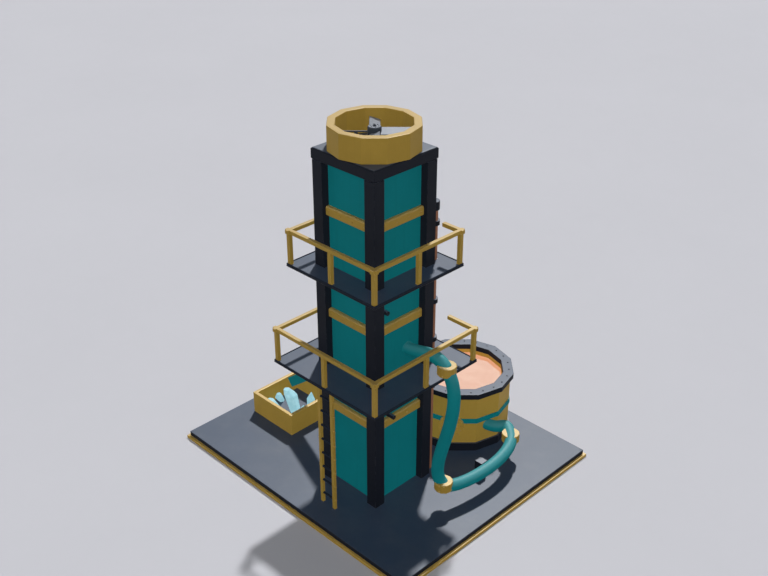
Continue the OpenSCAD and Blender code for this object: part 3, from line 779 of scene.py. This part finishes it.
FAN_BODY = "fan"
KERB_SET = 0.002
KERB_W = 0.022
KERB_DROP = 0.026
KERB_RISE = 0.018
COLLAR_R = 0.246
COLLAR_BOLT_UP = 0.085
RIM_BOLTS = 24
RIM_BOLT_R = rim_r - RIM_W / 2
PORT_TURN = math.radians(-58.5)
PORT_Z = 0.826
PORT_OUT = 0.069
PORT_BOLT_R = 0.282
COVER_OUT = 0.080
COVER_BOLT_R = 0.150
RUNG_PITCH = 0.438
SLEEVE_R = 0.029
SLEEVE_COLLAR_L = 0.018
SLEEVE_COLLAR_R = SLEEVE_R + 0.004
RUNG_CAP_R = 0.028
RUNG_CAP_PAST = 0.003
WELD_LIFT = 0.002
RAIL_WELD_R = 0.008
PIPE_WELD_R = 0.014
PIPE_WELD_OUT = 0.008
PIPE_WELD_SPREAD = 0.006
CAP_R = 0.147
CAP_H = 0.235
SHROUD_WALL = 0.199
SHROUD_INSIDE = (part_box("fan_shroud")[1].x - column.x - SHROUD_WALL) * FLAT_SHARE
BAND_BOLT_SHARES = (-0.86, -0.29, 0.29, 0.86)
RIVET_STEPS = ((0.011, 0.004, 10, 0.85), (0.0094, 0.003, 10, 0.5))
RIVET_PITCH = 0.24
RIVET_INSET = 0.030
RIVET_FROM_END = 0.1
RIVET_FROM_BAND = 0.02


def make_band_bolts():
    """Bolts that hold each brass band to the wall panels."""
    bm = bmesh.new()
    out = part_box("band_lower")[1].x - column.x
    for band in ("band_lower", "band_middle", "band_upper"):
        low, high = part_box(band)
        for quarter in range(4):
            turn = Matrix.Rotation(quarter * math.pi / 2, 3, "Z")
            for share in BAND_BOLT_SHARES:
                at = turn @ Vector((out, share * bay_half, 0))
                add_bolt(bm, Vector((column.x, column.y, (low.z + high.z) / 2)) + at,
                         turn @ Vector((1, 0, 0)), 0.017, spin=0.3 * share)
    finish_piece("band_bolts", bm, brass_fastener)


def make_wall_rivets():
    """Domed rivets down both edges of each wall panel."""
    bm = bmesh.new()
    low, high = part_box("wall_right")
    count = int((high.z - low.z - 2 * RIVET_FROM_END) / RIVET_PITCH)
    bands = [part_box(name) for name in ("band_lower", "band_middle", "band_upper")]
    for quarter in range(4):
        turn = Matrix.Rotation(quarter * math.pi / 2, 3, "Z")
        outward = turn @ Vector((1, 0, 0))
        for i in range(count + 1):
            level = low.z + RIVET_FROM_END + i * RIVET_PITCH
            if any(b[0].z - RIVET_FROM_BAND < level < b[1].z + RIVET_FROM_BAND for b in bands):
                continue
            for side in (-1, 1):
                at = turn @ Vector((wall_face, side * (bay_half - RIVET_INSET), 0))
                at += Vector((column.x, column.y, level))
                add_stack(bm, place(at, outward), RIVET_STEPS)
    finish_piece("wall_rivets", bm, teal)


def make_collar_bolts():
    """A ring of bolts round each pipe collar, two at each end of every flat."""
    bm = bmesh.new()
    for corner in route[1:4]:
        for k in range(FLATS):
            angle = math.radians(15 + 30 * k)
            outward = Vector((math.cos(angle), math.sin(angle), 0))
            for level in (-COLLAR_BOLT_UP, COLLAR_BOLT_UP):
                at = corner + COLLAR_R * FLAT_SHARE * outward + Vector((0, 0, level))
                add_bolt(bm, at, outward, 0.014)
    finish_piece("collar_bolts", bm, brass_fastener)


def make_rim_bolts():
    """Bolts through the vat's rim, two to each of its twelve flats."""
    bm = bmesh.new()
    for k in range(RIM_BOLTS):
        angle = math.radians(360 / RIM_BOLTS * (k + 0.5))
        at = Vector((vat.x + RIM_BOLT_R * math.cos(angle), vat.y + RIM_BOLT_R * math.sin(angle),
                     rim_high.z))
        add_bolt(bm, at, up, 0.020, spin=angle)
    finish_piece("rim_bolts", bm, fastener)


def make_port_bolts():
    """Bolts round the flange of the vat's port."""
    bm = bmesh.new()
    outward = Vector((math.cos(PORT_TURN), math.sin(PORT_TURN), 0))
    across = Vector((-outward.y, outward.x, 0))
    face = Vector((vat.x, vat.y, deck_z + PORT_Z)) + (vat_r + PORT_OUT) * outward
    for k in range(12):
        angle = math.radians(30 * k + 15)
        at = face + PORT_BOLT_R * (math.cos(angle) * across + math.sin(angle) * up)
        add_bolt(bm, at, outward, 0.018, spin=angle)
    for k in range(6):
        angle = math.radians(60 * k)
        at = face + COVER_OUT * outward + COVER_BOLT_R * (math.cos(angle) * across
                                                          + math.sin(angle) * up)
        add_bolt(bm, at, outward, 0.016, spin=angle)
    finish_piece("port_bolts", bm, brass_fastener)


def make_deck_screws():
    """Flush screws along the deck's edges, where it lies on its beams."""
    bm = bmesh.new()
    inset = 0.055
    pitch = 0.45
    screw = (0.020, 0.004, 12, 0.7)
    for axis in (0, 1):
        half_run = (deck_high[axis] - deck_low[axis]) / 2 - inset
        count = int(2 * half_run / pitch)
        for i in range(count + 1):
            along = -half_run + i * 2 * half_run / count
            for side in (-1, 1):
                at = Vector((0, 0, deck_z))
                at[axis] = (deck_low[axis] + deck_high[axis]) / 2 + along
                at[1 - axis] = side * (deck_high[1 - axis] - inset)
                add_prism(bm, place(at), *screw)
    finish_piece("deck_screws", bm, deck_steel)


def make_ladder_feet():
    """A foot plate with a bolt on each side of each stringer."""
    bm = bmesh.new()
    plate_l = 0.060
    plate_t = 0.012
    low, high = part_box("ladder_stringers")
    width = high.y - low.y
    for x in (low.x + width / 2, high.x - width / 2):
        for side in (-1, 1):
            plate = Vector((x, low.y + width / 2 + side * (width + plate_l) / 2, deck_z))
            add_box(bm, place(plate), (width, plate_l, plate_t))
            add_bolt(bm, plate + plate_t * up, up, 0.013)
    finish_piece("ladder_feet", bm, deck_steel)


def make_rung_sleeves():
    """A grip sleeve with two collars on every rung, and a brass cap over each rung end."""
    sleeves = bmesh.new()
    caps = bmesh.new()
    low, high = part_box("ladder_rungs")
    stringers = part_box("ladder_stringers")
    width = stringers[1].y - stringers[0].y
    rung_r = (high.y - low.y) / 2
    first = stringers[0].x + width
    last = stringers[1].x - width
    past = high.x - stringers[1].x + RUNG_CAP_PAST
    count = round((high.z - low.z - 2 * rung_r) / RUNG_PITCH) + 1
    for i in range(count):
        middle = Vector((0, (low.y + high.y) / 2, low.z + rung_r + i * RUNG_PITCH))
        for start, length, radius in ((first, last - first, SLEEVE_R),
                                      (first, SLEEVE_COLLAR_L, SLEEVE_COLLAR_R),
                                      (last - SLEEVE_COLLAR_L, SLEEVE_COLLAR_L,
                                       SLEEVE_COLLAR_R)):
            add_prism(sleeves, place(middle + start * right, right), radius, length, 20)
        for end, outward in ((stringers[1].x, right), (stringers[0].x, -right)):
            add_prism(caps, place(middle + end * right, outward), RUNG_CAP_R, past, 16, 0.85)
    finish_piece("rung_sleeves", sleeves, edge_paint)
    finish_piece("rung_caps", caps, brass)


def make_rail_welds():
    """Weld beads round the foot of every rail post."""
    bm = bmesh.new()
    for level in ("lower", "upper"):
        low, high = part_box(level + "_rail_posts")
        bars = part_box(level + "_rail_bars")
        width = bars[1].z - bars[0].z
        reach = high.x - column.x - width / 2
        floor_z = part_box(level + "_platform_plate")[1].z
        spots = [(x, y) for x in (-reach, 0, reach) for y in (-reach, 0, reach)]
        spots.remove((0, 0))
        spots.remove((0, reach))
        for x, y in spots:
            corners = []
            for k in range(16):
                angle = 2 * math.pi * k / 16
                edge = max(abs(math.cos(angle)), abs(math.sin(angle)))
                corners.append(Vector((column.x + x + width / 2 * math.cos(angle) / edge,
                                       column.y + y + width / 2 * math.sin(angle) / edge,
                                       floor_z + WELD_LIFT)))
            add_tube(bm, corners, RAIL_WELD_R, 8, closed=True)
    finish_piece("rail_welds", bm, brass, smooth=True)


def make_platform_kerbs():
    """The flat bar welded round each platform's edge, a little proud of its plate."""
    bm = bmesh.new()
    for level in ("lower", "upper"):
        low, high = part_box(level + "_platform_frame")
        reach = (high.x - low.x) / 2 - KERB_SET
        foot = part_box(level + "_platform_plate")[1].z - KERB_DROP
        for quarter in range(4):
            stand = (Matrix.Translation((column.x, column.y, foot))
                     @ Matrix.Rotation(quarter * math.pi / 2, 4, "Z")
                     @ Matrix.Translation((reach - KERB_W / 2, -KERB_W / 2, 0)))
            add_box(bm, stand, (KERB_W, 2 * reach - KERB_W, KERB_DROP + KERB_RISE))
    finish_piece("platform_kerbs", bm, edge_paint, bevel=0.005)


def make_pipe_weld():
    """The weld bead where the transfer pipe leaves the column's right wall."""
    bm = bmesh.new()
    foot = Vector((column.x + wall_face, pipe_y, route[0].z))
    foot += PIPE_WELD_OUT * right
    reach = PIPE_R + PIPE_WELD_SPREAD
    ring = [foot + reach * Vector((0, math.cos(a), math.sin(a)))
            for a in (2 * math.pi * k / 48 for k in range(48))]
    add_tube(bm, ring, PIPE_WELD_R, 8, closed=True)
    finish_piece("pipe_wall_weld", bm, pipe_teal, smooth=True)


def make_riser_cap():
    """The round, screwed cap that closes the copper riser."""
    bm = bmesh.new()
    low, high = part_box("riser_cap")
    foot = Vector(((low.x + high.x) / 2, (low.y + high.y) / 2, low.z))
    add_prism(bm, place(foot), CAP_R, CAP_H, 32)
    piece = finish_piece("riser_round_cap", bm, dark_steel, bevel=0.012)
    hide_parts("riser_cap")


def make_hub_bolts():
    """Six bolts and a shaft nut on the fan's hub, turning with it."""
    bm = bmesh.new()
    bolt_circle = 0.100
    shaft_nut = ((0.045, 0.008, 24, 1.0), (0.032, 0.026, 6, 1.0), (0.016, 0.012, 16, 0.85))
    top = Vector((column.x, column.y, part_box("fan_hub")[1].z))
    for k in range(6):
        angle = math.radians(60 * k + 30)
        add_bolt(bm, top + bolt_circle * Vector((math.cos(angle), math.sin(angle), 0)), up, 0.013,
                 spin=angle)
    add_stack(bm, place(top), shaft_nut)
    finish_piece("hub_bolts", bm, fastener, body=FAN_BODY)


def make_shroud_clips():
    """Angle clips that hold the shroud down on the roof, inside its foot."""
    bm = bmesh.new()
    clip_w = 0.090
    clip_t = 0.010
    foot_l = 0.070
    back_h = 0.060
    bolt_in = 0.042
    roof_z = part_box("roof_cap")[1].z
    for k in range(12):
        angle = math.radians(15 + 30 * k)
        outward = Vector((math.cos(angle), math.sin(angle), 0))
        at = Vector((column.x, column.y, roof_z)) + SHROUD_INSIDE * outward
        stand = Matrix.Translation(at) @ Matrix.Rotation(angle, 4, "Z")
        add_box(bm, stand @ Matrix.Translation((-foot_l / 2, 0, 0)), (foot_l, clip_w, clip_t))
        add_box(bm, stand @ Matrix.Translation((-clip_t / 2, 0, clip_t)),
                (clip_t, clip_w, back_h))
        add_bolt(bm, at - bolt_in * outward + clip_t * up, up, 0.012)
    finish_piece("shroud_clips", bm, fastener)


make_band_bolts()
make_wall_rivets()
make_collar_bolts()
make_rim_bolts()
make_port_bolts()
make_deck_screws()
make_ladder_feet()
make_rung_sleeves()
make_rail_welds()
make_platform_kerbs()
make_pipe_weld()
make_riser_cap()
make_hub_bolts()
make_shroud_clips()

# Camera, as the photograph was taken

CAMERA_AT = Vector((17.355, -17.364, 18.787))
CAMERA_AIM = Vector((1.043, -1.052, 6.020))
camera_data = bpy.data.cameras.new("camera")
camera_data.lens = 50.0
camera_data.sensor_width = 36.0
camera_data.clip_end = 400.0
camera = bpy.data.objects.new("camera", camera_data)
camera.location = CAMERA_AT
camera.rotation_euler = (CAMERA_AIM - CAMERA_AT).to_track_quat("-Z", "Y").to_euler()
scene.collection.objects.link(camera)
scene.camera = camera

# Light: one soft key from behind on the left, and an even pale room


def add_sun(name, shines_from, level, softness):
    """A sun that shines from a direction; it gives back the lamp's own settings."""
    lamp = bpy.data.lights.new(name, "SUN")
    lamp.energy = level
    lamp.angle = softness
    sun = bpy.data.objects.new(name, lamp)
    sun.rotation_euler = shines_from.to_track_quat("Z", "Y").to_euler()
    scene.collection.objects.link(sun)
    return lamp


KEY_LEVEL = 3.6
KEY_HEIGHT = math.radians(54)
KEY_SOFTNESS = math.radians(3)
key_flat = Vector((-0.539, 0.843, 0)).normalized()
key_from = key_flat * math.cos(KEY_HEIGHT) + up * math.sin(KEY_HEIGHT)
add_sun("key", key_from, KEY_LEVEL, KEY_SOFTNESS)

# Broad, weak fills from the front and both sides keep every upright face readable
FILL_HEIGHT = math.radians(17)
FILL_SOFTNESS = math.radians(100)
FILLS = {"fill_front": (0.707, -0.707, 1.16), "fill_left": (-0.707, -0.707, 0.76),
         "fill_right": (0.707, 0.707, 0.74)}
for fill_name, (fill_x, fill_y, fill_level) in FILLS.items():
    fill_from = Vector((fill_x, fill_y, 0)) * math.cos(FILL_HEIGHT) + up * math.sin(FILL_HEIGHT)
    fill = add_sun(fill_name, fill_from, fill_level, FILL_SOFTNESS)
    fill.use_shadow = False
    fill.cycles.use_multiple_importance_sampling = False

ROOM_LEVEL = 0.16
world = bpy.data.worlds.new("room")
world.use_nodes = True
room_light = world.node_tree.nodes["Background"].inputs
room_light["Color"].default_value = rgb(0.92, 0.95, 1.0)
room_light["Strength"].default_value = ROOM_LEVEL
scene.world = world

# Floor

FLOOR_R = 150.0
BACKDROP_H = 40.0
BACKDROP_SEEN = rgb(0.56, 0.56, 0.60)
FLOOR_SEEN = rgb(0.42, 0.42, 0.45)
# What the floor throws back on the object
FLOOR_BOUNCE = rgb(0.08, 0.08, 0.085)


def make_floor():
    bm = bmesh.new()
    bmesh.ops.create_circle(bm, cap_ends=True, segments=96, radius=FLOOR_R)
    mesh = bpy.data.meshes.new("floor")
    bm.to_mesh(mesh)
    bm.free()
    floor = bpy.data.objects.new("floor", mesh)
    floor.location.z = cad_box[0].z
    scene.collection.objects.link(floor)
    f = Finish("pale_floor", Roughness=0.9, Specular_IOR_Level=0.1)
    drift = f.group("tone_drift", Scale=0.12, Spread=0.02)
    rays = f.add("ShaderNodeLightPath").outputs
    seen = maths(f, "MAXIMUM", rays["Is Camera Ray"],
                 maths(f, "MAXIMUM", rays["Is Glossy Ray"], rays["Is Transmission Ray"]))
    f.join(f.mix(seen, FLOOR_BOUNCE, FLOOR_SEEN), drift.inputs["Color"])
    f.join(drift.outputs["Color"], f.shader.inputs["Base Color"])
    mesh.materials.append(f.material)


def make_backdrop():
    """The pale wall round the floor, which is seen but neither lights nor shades anything."""
    bm = bmesh.new()
    made = bmesh.ops.create_cone(bm, cap_ends=False, segments=96, radius1=FLOOR_R,
                                 radius2=FLOOR_R, depth=BACKDROP_H)
    bmesh.ops.translate(bm, verts=made["verts"], vec=(0, 0, BACKDROP_H / 2))
    mesh = bpy.data.meshes.new("backdrop")
    bm.to_mesh(mesh)
    bm.free()
    backdrop = bpy.data.objects.new("backdrop", mesh)
    backdrop.location.z = cad_box[0].z
    scene.collection.objects.link(backdrop)
    backdrop.visible_diffuse = False
    backdrop.visible_shadow = False
    f = Finish("pale_backdrop", Roughness=1.0, Specular_IOR_Level=0.0, Emission_Strength=1.0,
               Base_Color=rgb(0.0, 0.0, 0.0), Emission_Color=BACKDROP_SEEN)
    mesh.materials.append(f.material)


make_floor()
make_backdrop()

scene.view_settings.view_transform = "Standard"
